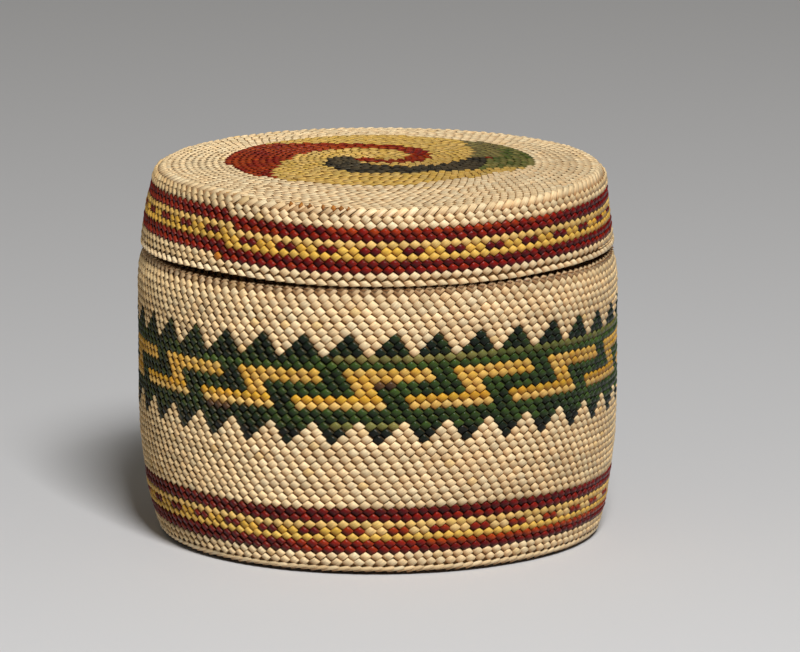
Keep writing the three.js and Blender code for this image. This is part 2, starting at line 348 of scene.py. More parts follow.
def laying_tree():
    """Lays a strand on every place, turned to the surface there, each a little unlike the next."""
    tree = bpy.data.node_groups.new("laying", "GeometryNodeTree")
    for kind, *names in (("Geometry", "Places"), ("Object", "Strand"), ("Material", "Finish"),
                         ("Float", "Uneven size", "Uneven turn"), ("Int", "Seed")):
        sockets(tree, "INPUT", kind, *names)
    sockets(tree, "OUTPUT", "Geometry", "Woven")
    given = node(tree, "NodeGroupInput").outputs

    def written(name):
        return node(tree, "GeometryNodeInputNamedAttribute", {"Name": name},
                    data_type="FLOAT_VECTOR").outputs["Attribute"]

    def vectors(operation, inputs):
        return node(tree, "ShaderNodeVectorMath", inputs, operation=operation).outputs[0]

    def uneven(amount, base, seed_shift):
        seed = node(tree, "FunctionNodeIntegerMath", {0: given["Seed"], 1: seed_shift},
                    operation="ADD")
        spread = node(tree, "FunctionNodeRandomValue", {
            "Min": (-1, -1, -1), "Max": (1, 1, 1), "Seed": seed.outputs[0]},
            data_type="FLOAT_VECTOR")
        scaled = vectors("SCALE", {0: spread.outputs["Value"], "Scale": amount})
        return vectors("ADD", {0: scaled, 1: (base, base, base)})

    up = node(tree, "FunctionNodeAlignRotationToVector", {"Vector": written("outward")}, axis="Z")
    on = node(tree, "FunctionNodeAlignRotationToVector", {
        "Rotation": up.outputs[0], "Vector": written("along")}, axis="X", pivot_axis="Z")
    tilt = node(tree, "FunctionNodeEulerToRotation", {0: uneven(given["Uneven turn"], 0, 0)})
    leaning = node(tree, "FunctionNodeRotateRotation", {
        "Rotation": on.outputs[0], "Rotate By": tilt.outputs[0]}, rotation_space="LOCAL")
    size = vectors("MULTIPLY", {0: uneven(given["Uneven size"], 1, 1), 1: written("size")})
    strand = node(tree, "GeometryNodeObjectInfo", {"Object": given["Strand"]})
    laid = node(tree, "GeometryNodeInstanceOnPoints", {
        "Points": given["Places"], "Instance": strand.outputs["Geometry"],
        "Rotation": leaning.outputs[0], "Scale": size})
    real = node(tree, "GeometryNodeRealizeInstances", {"Geometry": laid.outputs["Instances"]})
    finish = node(tree, "GeometryNodeSetMaterial", {
        "Geometry": real.outputs["Geometry"], "Material": given["Finish"]})
    node(tree, "NodeGroupOutput", {"Woven": finish.outputs["Geometry"]})
    return tree


laying = laying_tree()
laying_sockets = {item.name: item.identifier for item in laying.interface.items_tree}


def woven(name, strand, stitches, finish, seed, uneven_size=0.05, uneven_turn=0.06):
    """Lays a strand for every stitch and gives back the plain mesh as one piece."""
    kinds = {key: ("FLOAT_VECTOR", "vector") for key in ("outward", "along", "size")}
    kinds.update(dye=("FLOAT_COLOR", "color"), tone=("FLOAT", "value"))
    places = bpy.data.meshes.new(name + "_places")
    places.from_pydata([made["place"] for made in stitches], [], [])
    for key, (kind, field) in kinds.items():
        column = places.attributes.new(key, kind, "POINT")
        for row, made in enumerate(stitches):
            setattr(column.data[row], field, made[key])
    holder = bpy.data.objects.new(name + "_places", places)
    bpy.context.scene.collection.objects.link(holder)
    modifier = holder.modifiers.new("laying", "NODES")
    modifier.node_group = laying
    inputs = {"Strand": strand, "Finish": finish, "Uneven size": uneven_size,
              "Uneven turn": uneven_turn, "Seed": seed}
    for key, value in inputs.items():
        modifier[laying_sockets[key]] = value
    depsgraph = bpy.context.evaluated_depsgraph_get()
    mesh = bpy.data.meshes.new_from_object(
        holder.evaluated_get(depsgraph), preserve_all_data_layers=True, depsgraph=depsgraph)
    bpy.data.objects.remove(holder)
    mesh.name = name
    piece = bpy.data.objects.new(name, mesh)
    bpy.context.scene.collection.objects.link(piece)
    return piece


def strand_runs(seed, shortest, longest):
    """A tone for each stitch in turn, from -1 to 1: one length of grass makes a run alike."""
    rng = random.Random(seed)
    while True:
        tone = rng.uniform(-run_tone, run_tone)
        for _ in range(rng.randint(shortest, longest)):
            yield max(-1, min(1, tone + rng.uniform(-stray_in_run, stray_in_run)))


def mixed(first, second, share):
    """A dye between two dyes."""
    return dyes[first].lerp(dyes[second], max(0, min(1, share)))


def stitch(place, outward, along, size, dye, tone, rng, depth=0.15):
    """What one stitch needs: where it is, how it is turned, how large it is, and its colour, which
    is its dye made lighter or darker with its tone, and a little warmer or greener."""
    level = 1 + tone * depth + rng.uniform(-stray_tone, stray_tone)
    warmth = rng.uniform(-stray_warmth, stray_warmth)
    colour = (dye.x * level * (1 + warmth), dye.y * level, dye.z * level * (1 - warmth), 1)
    return {"place": place, "outward": outward, "along": along, "size": size, "dye": colour,
            "tone": rng.random()}


def out_at(turn):
    """The way out from the axis at a turn from the front."""
    return Vector((math.sin(turn), -math.cos(turn), 0))


def along_at(turn):
    """The way on round the axis, to the right as seen from the front."""
    return Vector((math.cos(turn), math.sin(turn), 0))


def wave(turn, row, bends, row_share, shift=0):
    """A smooth unevenness round the basket and from row to row, from -1 to 1."""
    return noise.noise(Vector(
        (math.sin(turn) * bends, math.cos(turn) * bends, row * row_share + shift)))


# The wall of the body: 42 courses of wrapped twining. One strand climbs round the whole wall, so
# each course meets the next where a turn ends. Rows are counted up from the heel.
wall_nodes = {
    "lower_natural_band": (2, "natural_grass"),
    "body_border_band": (7, "red_grass"),
    "middle_natural_band": (10, "natural_grass"),
    "zigzag_band": (16, "green_grass"),
    "upper_natural_band": (7, "natural_grass"),
}
body_columns = 140
wrap_lift = 0.54 * millimetre
column_lean_share = 0.38
body_jog = -math.pi
body_column_start = math.radians(-12.79)
wrap_corners = (((-0.6, -0.02), (-0.02, -0.84)), ((0, 0.82), (0.6, 0.06)))
gain_past_bend = 0.55
shortest_shown = 0.3
# How far the wraps stray from their course, in courses, and round the wall, as a share of that. The
# waves that they follow have a number of bends and a change from row to row.
wall_waver = 0.08
sideways_waver = 1.5
course_waves = (3, 0.35)
sideways_waves = (5, 0.6, 50)
wrap_thickness = (0.88, 1.08)
wrap_runs = (6, 22)
column_contrast = 0.16
# How far the top rows, under the lid's rim, are browned as painted shade.
top_row_painted_shade = 0.5
drawn_in = 0.12 * millimetre
drawn_in_at_top = 0.5 * millimetre
hair = 1e-6


def outline_radius(names, heights, inside=False):
    """How far the outside of these nodes, or their inside, stands from the axis, at each height."""
    depsgraph = bpy.context.evaluated_depsgraph_get()
    trees = [BVHTree.FromObject(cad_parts[name], depsgraph) for name in names]
    start = 0 if inside else -cad_box[1].x * 2
    way = Vector((0, -1, 0)) if inside else Vector((0, 1, 0))
    radii = []
    for height in heights:
        hits = [tree.ray_cast(Vector((0, start, height)), way) for tree in trees]
        found = [-hit[0].y for hit in hits if hit[0] is not None]
        radii.append(min(found) if inside else max(found))
    return radii


def eased(values):
    """The same values, with each drawn toward its neighbours."""
    padded = [values[0], *values, values[-1]]
    return [(a + 2 * b + c) / 4 for a, b, c in zip(padded, padded[1:], padded[2:])]


def between(values, place):
    """Reads a list between its entries, and past its ends as it goes on there."""
    low = max(0, min(int(place), len(values) - 2))
    return values[low] + (values[low + 1] - values[low]) * (place - low)


class Wall:
    """A round wall of courses, between two heights, as wide as the nodes that it stands for. Its
    face is the outside, or the inside where facing is -1."""

    def __init__(self, names, courses, facing=1):
        self.foot = min(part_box(name)[0].z for name in names)
        self.top = max(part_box(name)[1].z for name in names)
        self.courses = courses
        self.facing = facing
        self.pitch = (self.top - self.foot) / courses
        heights = [self.foot + self.pitch * (course + 0.5) for course in range(courses)]
        self.radii = eased(eased(outline_radius(names, heights, facing < 0)))
        self.bend = courses * 2

    def radius(self, row):
        return between(self.radii, row)

    def height(self, row):
        """How high the middle of a course is. Past the bend the wall turns in and gains less."""
        return self.foot + self.pitch * (row + 0.5 - max(0, row - self.bend) * (1 - gain_past_bend))

    def place(self, row, turn, sunk):
        """A point on the wall, the way out of it, the way along the course, and how tall it is."""
        widening = self.radius(row + 0.5) - self.radius(row - 0.5)
        rise = self.height(row + 0.5) - self.height(row - 0.5)
        out = out_at(turn)
        outward = (out * rise - Vector((0, 0, widening))).normalized() * self.facing
        point = out * self.radius(row) + Vector((0, 0, self.height(row))) - outward * sunk
        return point, outward, along_at(turn) * self.facing, math.hypot(widening, rise)


class Spiral:
    """How the courses of a wall run round as one strand, which climbs to the right. A course
    starts and ends at the jog, and it is at its own height at the level turn. Below the upright
    row the jog moves round by its lean with every row."""

    def __init__(self, wall, columns, jog, level_turn, start, jog_lean=0.0, upright_row=0):
        self.wall = wall
        self.columns = columns
        self.jog = jog
        self.level_turn = level_turn
        self.start = start
        self.step = whole_turn / columns
        self.jog_lean = jog_lean
        self.upright_row = upright_row

    def jog_of(self, row):
        return self.jog + self.jog_lean * min(0, row - self.upright_row)

    def lean(self, row):
        return column_lean_share * (self.wall.courses - 1 - row)

    def stitches_of(self, row):
        """Each stitch of a course: its column, its turn, and how high it is in courses."""
        drift = self.step * column_lean_share / whole_turn
        first_level = row + (self.jog - self.level_turn) / whole_turn
        column = math.ceil((self.jog_of(row) - self.start) / self.step
                           - self.lean(first_level) - hair)
        while True:
            turn = (self.start + self.step * (column + self.lean(row))
                    + drift * self.level_turn) / (1 + drift)
            if turn >= self.jog_of(row + 1) + whole_turn:
                return
            yield column, turn, row + (turn - self.level_turn) / whole_turn
            column += 1

    def at(self, level, turn):
        """The row and column at a place on the wall."""
        unwound = self.jog + (turn - self.jog) % whole_turn
        row = round(level - (unwound - self.level_turn) / whole_turn)
        return row, round((unwound - self.start) / self.step - self.lean(level))


def wall_stitches(spiral, rows, dye_of, seed, waver, lift=wrap_lift, lowest=0, highest=None):
    """The wraps of some rows of a wall, each cut short where its course runs out of the wall."""
    rng = random.Random(seed)
    wall = spiral.wall
    stitches = []
    for row in rows:
        tones = strand_runs(seed * 100 + row, *wrap_runs)
        for column, turn, level in spiral.stitches_of(row):
            foot = max(level, lowest)
            top = min(level + 1, wall.courses if highest is None else highest)
            tone = next(tones)
            if top - foot < shortest_shown:
                continue
            middle = (foot + top) / 2 - 0.5 + wave(turn, row, *course_waves) * waver
            shown = turn + spiral.step * wave(turn, row, *sideways_waves) * waver * sideways_waver
            point, outward, along, tall = wall.place(middle, shown, lift)
            size = (wall.radius(middle) * spiral.step, tall * (top - foot),
                    lift * rng.uniform(*wrap_thickness))
            stitches.append(stitch(point, outward, along, size, dye_of(row, column, turn, rng),
                                   tone, rng))
    return stitches


def front_degrees(turn):
    """A turn in degrees from the front, from -180 to 180, positive to the right."""
    return math.degrees(math.remainder(turn, whole_turn))


def natural_dye(rng):
    """Bleached grass: mostly cream and tan, now and then a straw strand."""
    if rng.random() < 0.02:
        return mixed("natural", "straw", rng.uniform(0.2, 0.6))
    return mixed("natural", "cream", rng.uniform(-0.1, 0.8))


# How much painted shade the pale grass takes round the wall, for each turn from the front in
# degrees: it is painted darker and yellower at the sides, most of all at the left.
side_shading = ((-180, 0.5), (-110, 0.8), (-75, 1), (-50, 0.75), (-25, 0.15), (0, 0), (25, 0.1),
          (50, 0.4), (75, 0.7), (110, 0.6), (180, 0.5))
side_shade_colour = Vector((0.75, 0.7, 0.6))


def shaded_at_sides(dye, turn):
    """A pale dye with the painted shade at this turn. Dark dyes take none."""
    share = numpy.interp(front_degrees(turn), *zip(*side_shading)) * max(0, min(1, dye.y * 5 - 0.5))
    return dye * (Vector((1, 1, 1)).lerp(side_shade_colour, share))


def red_dye(column, rng, brightness):
    """Red grass: every other column is a little darker, and some rows are faded to brick."""
    share = brightness + rng.uniform(-0.14, 0.14) - (column_contrast if column % 2 else 0)
    if share < 0.5:
        return mixed("maroon", "red", share * 2)
    return mixed("red", "brick", share * 2 - 1)


def border_dye(row_from_top, column, turn, rng, dice_columns, brightness, golden_to,
               faded_from=180):
    """The border: two red rows, yellow, the dice, yellow, and two red rows again. The lower yellow
    is golden up to a turn, in degrees, and the row of dice is faded to the right of another."""
    right = front_degrees(turn)
    if row_from_top in (0, 1, 5, 6):
        return red_dye(column, rng, brightness(row_from_top, right))
    if row_from_top == 2:
        return mixed("straw", "yellow", rng.uniform(-0.2, 0.4))
    if row_from_top == 4:
        low, high = (0, 0.6) if right < golden_to else (-0.4, 0.1)
        return mixed("yellow", "gold", rng.uniform(low, high))
    if column % 4 in dice_columns:
        if right > faded_from:
            return mixed("red", "brick", rng.uniform(0, 0.7))
        return mixed("maroon", "red", rng.uniform(0, 0.5))
    if right > faded_from:
        return mixed("straw", "cream", rng.uniform(0, 0.5))
    return mixed("yellow", "gold", rng.uniform(0.2, 0.8))


def zigzag_dye(row_from_top, column, turn, rng):
    """Green teeth up and down, with a running key of gold between them. The green has faded more
    toward the right, some rows more than others."""
    tooth = -column % 4
    key = (column + 2) % 10
    right = front_degrees(turn)
    fading = 0.15 if right < -20 else 0.5
    green = mixed("green", "leaf", rng.uniform(fading - 0.35, fading + 0.35))
    if row_from_top < 3:
        if tooth > row_from_top:
            return natural_dye(rng)
        return mixed("green", "leaf", rng.uniform(-0.4, 0.3))
    if row_from_top == 3:
        if right <= -10.5:
            return green
        greener = 0.1 + max(0, min(0.5, right / 60))
        return mixed("olive", "leaf", rng.uniform(greener - 0.2, greener + 0.2))
    if row_from_top == 4:
        low, high = (0.5, 1.1) if right > -44 else (0, 0.5)
        return mixed("green", "leaf", rng.uniform(low, high))
    if row_from_top < 9 and key < (8 if row_from_top < 7 else 2):
        return mixed("straw", "gold", rng.uniform(0.4, 0.9))
    if row_from_top in (9, 10) and not 2 <= key < 4:
        return (mixed("gold", "amber", rng.uniform(-0.3, 0.25)) if row_from_top == 9
                else mixed("straw", "gold", rng.uniform(0, 0.5)))
    if (row_from_top == 7 and 0 < right < 4) or (row_from_top == 11 and -42 < right < -36):
        return mixed("black", "bark", rng.uniform(0.2, 0.5))
    if row_from_top < 13:
        return green
    if tooth <= row_from_top - 13:
        return natural_dye(rng)
    if row_from_top == 13 and -10.5 < right < 8:
        return mixed("olive", "leaf", rng.uniform(0.2, 0.8))
    return mixed("black", "green", rng.uniform(0, 1.2)) if row_from_top > 13 else green


def body_red_brightness(row_from_top, right):
    """The red of the body's border: dark at the left, brighter in front, and faded to brick at the
    right in one row."""
    if right < -20:
        return 0.1
    if row_from_top == 5:
        return 0.6 if right < 12 else 1
    if row_from_top == 6:
        return 0.6 if right < 12 else 0.25
    return 0.25 + 0.2 * row_from_top


def body_dye(row, column, turn, rng):
    """What the body's wraps are dyed, row by row from the heel."""
    if row in range(2, 9):
        dye = border_dye(8 - row, column, turn, rng, dice_columns=(1, 2),
                         brightness=body_red_brightness, golden_to=-180, faded_from=-8)
        return shaded_at_sides(dye, turn)
    if row in range(19, 35):
        return shaded_at_sides(zigzag_dye(34 - row, column, turn, rng), turn)
    # The top rows are browned as painted shade under the lid's rim.
    if row > 40:
        return natural_dye(rng).lerp(dyes["bark"], top_row_painted_shade)
    return shaded_at_sides(natural_dye(rng), turn)


wrap = strand_form("wrap", wrap_corners)
body_courses = sum(courses for courses, _ in wall_nodes.values())
body_wall = Wall(list(wall_nodes), body_courses)
body_wall.radii[-2] -= drawn_in
body_wall.radii[-1] -= drawn_in_at_top
body_spiral = Spiral(body_wall, body_columns, body_jog, 0, body_column_start)

# How the wall's courses wave, being made by hand. For each turn from the front, in degrees: how far
# they hang down at the top, at the zigzag and at the border, in millimetres, how far they are drawn
# round at the zigzag and the border, in degrees, and how far the wall bulges at the border. Higher
# up it bulges by a share of that, and the heel bulges at the right only.
body_waves = (
    (-180, 0, 0, 0, 0, 0, 0), (-110, 0, 0.8, 0, 0, -3, 0.45), (-75, 0.1, 1.3, 0, -0.4, -6, 0.5),
    (-60, 0.3, 1.25, 0, -1.9, -5.4, 0.4), (-49, 0.4, 1.1, 0, -1.8, -4.5, 0.25),
    (-39, 0.4, 0.95, 0.15, -1.9, -4, 0.1), (-28, 0.3, 0.55, 0.5, -1.8, -3.5, 0),
    (-17, 0.2, 0.35, 0.37, -1.5, -2.7, 0), (-6, 0.05, 0.05, 0.05, -0.7, -1.5, 0),
    (5, 0, 0, 0, 0, -0.3, 0), (15, 0, 0, -0.1, 0, -0.4, 0), (26, 0, 0, 0.05, 0.6, 0.3, 0),
    (36, 0, 0.1, 0.17, 0.7, 0.9, 0.05), (47, 0.2, 0.35, 0.45, 1.4, 1.8, 0.15),
    (57, 0.4, 0.6, 0.55, 1.1, 1.8, 0.3), (66, 0.5, 0.8, 0.6, 0.3, 1.5, 0.45),
    (80, 0.6, 0.9, 0.7, 0, 1, 0.65), (110, 0.3, 0.5, 0.3, 0, 0, 0.5), (180, 0, 0, 0, 0, 0, 0),
)
bulge_above = 0.5
heel_bulge = ((-180, 0), (36, 0), (60, 0.5), (80, 0.85), (110, 0.5), (180, 0))
zigzag_height = 44.8 * millimetre
border_height = 8.4 * millimetre
still = [(-180, 0), (180, 0)]


def columns_of(table, unit=1):
    """Each column of a table of turns and values, as turns with values of its own."""
    turns, *columns = zip(*table)
    return [[(turn, value * unit) for turn, value in zip(turns, column)] for column in columns]


def settle(piece, heights, shifts, draws, pushes, over_the_top=None):
    """Moves a level piece's points up or down, and round the axis. shifts and draws hold a table
    of turns and values for each of the heights, and pushes how far a place stands out or in. Over
    the top these fade in to the middle."""
    mesh = piece.data
    points = numpy.empty(len(mesh.vertices) * 3)
    mesh.vertices.foreach_get("co", points)
    points = points.reshape(-1, 3)
    turns = numpy.degrees(numpy.arctan2(points[:, 0], -points[:, 1]))

    def read(tables):
        columns = [numpy.interp(turns, *zip(*table)) for table in tables]
        values = numpy.zeros(len(turns))
        for low, high, below, above in zip(heights, heights[1:], columns, columns[1:]):
            share = numpy.clip((points[:, 2] - low) / (high - low), 0, 1)
            reached = points[:, 2] >= (low if low > heights[0] else -math.inf)
            values = numpy.where(reached, below + (above - below) * share, values)
        return values

    shift, draw, push = read(shifts), numpy.radians(read(draws)), read(pushes)
    away = numpy.hypot(points[:, 0], points[:, 1])
    if over_the_top:
        edge_height, edge_radius = over_the_top
        fade = numpy.where(points[:, 2] > edge_height, numpy.clip(away / edge_radius, 0, 1) ** 4, 1)
        shift, push = shift * fade, push * fade
    wider = 1 + push / numpy.maximum(away, millimetre)
    x, y = points[:, 0] * wider, points[:, 1] * wider
    points[:, 0] = x * numpy.cos(draw) - y * numpy.sin(draw)
    points[:, 1] = x * numpy.sin(draw) + y * numpy.cos(draw)
    points[:, 2] += shift
    mesh.vertices.foreach_set("co", points.ravel())
    mesh.update()


def settle_body(piece):
    """Hangs a level piece of the body's wall in its waves."""
    top, zigzag, border, *_ = columns_of(body_waves, -millimetre)
    *_, zigzag_draw, border_draw, _ = columns_of(body_waves)
    bulge = columns_of(body_waves, millimetre)[-1]
    slight_bulge = columns_of(body_waves, millimetre * bulge_above)[-1]
    lowest_bulge, = columns_of(heel_bulge, millimetre)
    settle(piece, (0, border_height, zigzag_height, body_wall.top), (still, border, zigzag, top),
           (border_draw, border_draw, zigzag_draw, zigzag_draw),
           (lowest_bulge, bulge, slight_bulge, slight_bulge))


band_foot = 0
for seed, (name, (courses, slot)) in enumerate(wall_nodes.items()):
    rows = range(band_foot - (name == "lower_natural_band"),
                 band_foot + courses + (name == "upper_natural_band"))
    stitches = wall_stitches(body_spiral, rows, body_dye, seed + 1, wall_waver)
    band = woven("woven_" + name, wrap, stitches, grass, seed)
    settle_body(band)
    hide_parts(name)
    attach(band, "body")
    band_foot += courses

# The inside of the body: upright strips of cedar bark carry the wall. Behind them runs one stiff
# weft in every course, and the backs of the wraps tie it down between the strips.
shell_inset = 0.58 * millimetre
shell_thickness = 0.55 * millimetre
weft_depth = 0.4 * millimetre
weft_height_share = 0.62
weft_edge_depth = 0.7
weft_edge_height = 0.8
weft_inset = shell_inset + shell_thickness
back_inset = weft_inset + weft_depth * 0.6
back_width_share = 0.4
back_height_share = 1.1
back_lift = 0.35 * millimetre
lowest_back = -0.2
highest_back = 0.8
shade_tint = Vector((0.16, 0.1, 0.05))

bark = strand_material("cedar_bark", fibres_across=9, contrast=0.5, smoothest=0.6, roughest=0.85)


def turned(name, loops, segments, finish, dye_of):
    """Round rings about the axis, one for each closed loop of radius and height, taken up the
    outside and down the inside. dye_of gives the colour at a turn, a radius and a height."""
    vertices = []
    faces = []
    places = []
    colours = []
    for loop in loops:
        first = len(vertices)
        count = len(loop)
        for segment in range(segments):
            turn = whole_turn * segment / segments
            vertices += [(r * math.sin(turn), -r * math.cos(turn), z) for r, z in loop]
        for segment in range(segments):
            near = first + segment * count
            far = first + (segment + 1) % segments * count
            for corner in range(count):
                after = (corner + 1) % count
                faces.append((near + corner, far + corner, far + after, near + after))
                places.append([(segment, corner), (segment + 1, corner),
                               (segment + 1, corner + 1), (segment, corner + 1)])
                middle = (Vector(loop[corner]) + Vector(loop[after])) / 2
                facing = loop[after][1] - loop[corner][1]
                colours.append(dye_of(whole_turn * (segment + 0.5) / segments, *middle, facing))
    mesh = bpy.data.meshes.new(name)
    mesh.from_pydata(vertices, [], faces, shade_flat=False)
    mesh.uv_layers.new(name="strand")
    mesh.color_attributes.new("dye", "FLOAT_COLOR", "CORNER")
    mesh.uv_layers["strand"].data.foreach_set("uv", [value for spots in places for spot in spots
                                                     for value in spot])
    mesh.color_attributes["dye"].data.foreach_set(
        "color", [value for colour in colours for _ in range(4) for value in (*colour, 1)])
    mesh.materials.append(finish)
    piece = bpy.data.objects.new(name, mesh)
    bpy.context.scene.collection.objects.link(piece)
    return piece


def wall_shell(name, spiral, dye_of, seed):
    """The layer behind the wraps: their dyes in the shade outside, and bark inside."""
    rng = random.Random(seed)
    wall = spiral.wall
    halves = [half / 2 for half in range(-1, wall.courses * 2)]
    outside = [(wall.radius(level) - shell_inset, wall.foot + wall.pitch * (level + 0.5))
               for level in halves]
    inside = [(radius - shell_thickness, height) for radius, height in reversed(outside)]

    def shell_dye(turn, _, height, facing):
        if facing <= 0:
            return mixed("old_bark", "bark", rng.random())
        row, column = spiral.at((height - wall.foot) / wall.pitch - 0.5, turn)
        return dye_of(row, column, turn, rng) * shade_tint

    return turned(name, [outside + inside], spiral.columns, bark, shell_dye)


def weft_rings(name, spiral, seed):
    """One flat stiff weft for every course, against the inside of a wall."""
    rng = random.Random(seed)
    wall = spiral.wall
    loops = []
    for course in range(wall.courses):
        radius = wall.radius(course) - weft_inset
        middle = wall.foot + wall.pitch * (course + 0.5)
        half = wall.pitch * weft_height_share / 2
        edge = radius - weft_depth * weft_edge_depth
        loops.append([(radius, middle - half), (radius, middle + half),
                      (edge, middle + half * weft_edge_height), (radius - weft_depth, middle),
                      (edge, middle - half * weft_edge_height)])
    return turned(name, loops, spiral.columns // 2, bark,
                  lambda *_: mixed("bark", "natural", rng.uniform(0, 0.5)))


back_corners = (((-0.5, -0.5), (0.5, -0.5)), ((-0.5, 0.5), (0.5, 0.5)))
back_rise = ((-1, 0.04), (0, 1), (1, 0.04))
back = strand_form("back_of_wrap", back_corners, 0.6, along=back_rise, across=back_rise)


def wall_backs(name, spiral, dye_of, seed):
    """The backs of the wraps, upright between the strips, on the inside of a wall."""
    rng = random.Random(seed)
    wall = spiral.wall
    stitches = []
    for row in range(wall.courses):
        for column, turn, level in spiral.stitches_of(row):
            if level < lowest_back or level > wall.courses - highest_back:
                continue
            point, outward, along, _ = wall.place(level, turn + spiral.step / 2, back_inset)
            size = (wall.radius(level) * spiral.step * back_width_share,
                    wall.pitch * back_height_share, back_lift)
            stitches.append(stitch(point, -outward, -along, size, dye_of(row, column, turn, rng),
                                   rng.uniform(-1, 1), rng))
    return woven(name, back, stitches, grass, seed, uneven_size=0.12, uneven_turn=0.08)


body_shell = wall_shell("bark_strips_of_body", body_spiral, body_dye, 20)
settle_body(body_shell)
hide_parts("body_warps")
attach(body_shell, "body")
body_weft = weft_rings("wefts_of_body", body_spiral, 21)
settle_body(body_weft)
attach(body_weft, "body")
body_backs = wall_backs("wrap_backs_of_body", body_spiral, body_dye, 22)
settle_body(body_backs)
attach(body_backs, "body")

# The heel: one thick course of twining turns the base up into the wall. Long strands of grass lie
# slanting round it, each over the beginning of the next.
heel_columns = 140
heel_corners = (((-1.0, -0.08), (-0.8, -0.58)), ((0.8, 0.58), (1.0, 0.08)))
heel_tall = 1.35 * millimetre
heel_foot = 0.45 * millimetre
heel_tilt = math.radians(-14)
heel_lift = 0.5 * millimetre
heel_core_depth = 0.95 * millimetre
heel_core_radius = 0.58 * millimetre
# How much darker the heel's strands are painted, as painted shade low by the floor.
heel_painted_shade = 0.85
cord_runs = (5, 16)
core_corners = 8
core_segments = 70


def heel_path(_):
    """Where the face of the heel is all the way round: its radius, its height and how far it looks
    up."""
    return heel_outer, heel_foot + heel_tall / 2, heel_tilt


def thick_course(name, strand, columns, overlap, first_turn, path, tall, lift, dye_of, seed):
    """A thick course of long slanting strands. path gives the radius, the height and the tilt of
    its face for the share of the turn that has passed. It runs on past one turn by some strands."""
    rng = random.Random(seed)
    tones = strand_runs(seed, *cord_runs)
    stitches = []
    for column in range(columns + overlap):
        passed = column / columns
        turn = first_turn + whole_turn * passed
        radius, height, tilt = path(passed)
        outward = out_at(turn) * math.cos(tilt) + Vector((0, 0, math.sin(tilt)))
        point = out_at(turn) * radius + Vector((0, 0, height)) - outward * lift
        size = (radius * whole_turn / columns, tall, lift)
        stitches.append(stitch(point, outward, along_at(turn), size, dye_of(turn, rng), next(tones),
                               rng))
    return woven(name, strand, stitches, grass, seed, uneven_turn=0.05)


def thick_course_core(name, first_turn, path, depth, core_radius, dye):
    """The middle of a thick course, which its strands lie on."""
    start_radius, start_height, _ = path(0)
    angles = [whole_turn * (corner + 0.5) / core_corners for corner in range(core_corners)]
    loop = [(start_radius + core_radius * math.cos(angle),
             start_height + core_radius * math.sin(angle)) for angle in angles]
    core = turned(name, [loop], core_segments, bark, lambda *_: dye)
    for vertex in core.data.vertices:
        turn = math.atan2(vertex.co.x, -vertex.co.y)
        radius, height, tilt = path(((turn - first_turn) / whole_turn) % 1)
        vertex.co += out_at(turn) * (radius - start_radius - depth * math.cos(tilt))
        vertex.co.z += height - start_height - depth * math.sin(tilt)
    return core


heel_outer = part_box("heel_course")[1].x
heel_strand = strand_form("heel_strand", heel_corners, 0.1)
# The heel's natural strands are darkened as painted shade.
heel = thick_course("heel_cord", heel_strand, heel_columns, 0, 0, heel_path, heel_tall, heel_lift,
                    lambda turn, rng: natural_dye(rng) * heel_painted_shade, 30)
core_dye = mixed("old_bark", "natural", 0.1)
heel_core = thick_course_core("heel_core", 0, heel_path, heel_core_depth, heel_core_radius,
                              core_dye)
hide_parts("heel_course")
for piece in (heel, heel_core):
    settle_body(piece)
    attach(piece, "body")

# The shoulder, the collar and its binding. Three courses turn in from the wall and carry the lid.
# The collar that keeps the lid in place is plain twining of bare bark, bound over with grass.
shoulder_radii = (42.3 * millimetre, 41.4 * millimetre, 40.5 * millimetre)
shoulder_lift = 0.5 * millimetre
shoulder_pitch = 1.2 * millimetre
# How far the shoulder's wraps, under the lid, are browned as painted shade.
shoulder_painted_shade = 0.6
stitch_width = 1.88 * millimetre
smallest_round = 0.4
disc_thickness = (0.85, 1.1)
disc_waver = 0.06
disc_tone_depth = 0.12
golden_share = 0.618
evening_passes = 40


class Disc:
    """A nearly flat round of courses, as high as the nodes that it stands for. Its face is the
    top, or the underside where facing is -1."""

    def __init__(self, names, inner, outer, facing=1, samples=40):
        depsgraph = bpy.context.evaluated_depsgraph_get()
        trees = [BVHTree.FromObject(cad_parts[name], depsgraph) for name in names]
        self.facing = facing
        self.inner = inner
        self.spread = (outer - inner) / (samples - 1)
        start = cad_box[1].z * 2 * facing
        heights = []
        for sample in range(samples):
            from_point = Vector((inner + self.spread * sample, 0, start))
            hits = [tree.ray_cast(from_point, Vector((0, 0, -facing))) for tree in trees]
            found = [hit[0].z * facing for hit in hits if hit[0] is not None]
            heights.append(max(found) * facing if found else heights[-1])
        self.heights = eased(eased(heights))

    def height(self, radius):
        return between(self.heights, (radius - self.inner) / self.spread)

    def place(self, radius, turn, sunk):
        """A point on the disc, the way out of it and the way along the round."""
        rise = self.height(radius + self.spread) - self.height(radius - self.spread)
        slope = rise / (2 * self.spread)
        out = out_at(turn)
        outward = (Vector((0, 0, 1)) - out * slope).normalized() * self.facing
        point = out * radius + Vector((0, 0, self.height(radius))) - outward * sunk
        return point, outward, along_at(turn) * self.facing


def round_turns(radii, first_turns, width):
    """The turn of every stitch in each round, from the outermost in. Columns run on inward with a
    lean, and where they would crowd, one of them ends."""
    rounds = [first_turns]
    turns = list(first_turns)
    for number, radius in enumerate(radii[1:]):
        drop = max(0, len(turns) - max(5, round(whole_turn * radius / width)))
        lost = {int((i + (number * golden_share) % 1) * len(turns) / drop) for i in range(drop)}
        turns = [turn for place, turn in enumerate(turns) if place not in lost]
        step = whole_turn / len(turns)
        for _ in range(evening_passes):
            before = [turns[-1] - whole_turn, *turns[:-1]]
            after = [*turns[1:], turns[0] + whole_turn]
            turns = [turn + 0.5 * ((a + b) / 2 - turn) for turn, a, b in zip(turns, before, after)]
        turns = [turn - step * column_lean_share for turn in turns]
        rounds.append(turns)
    return rounds


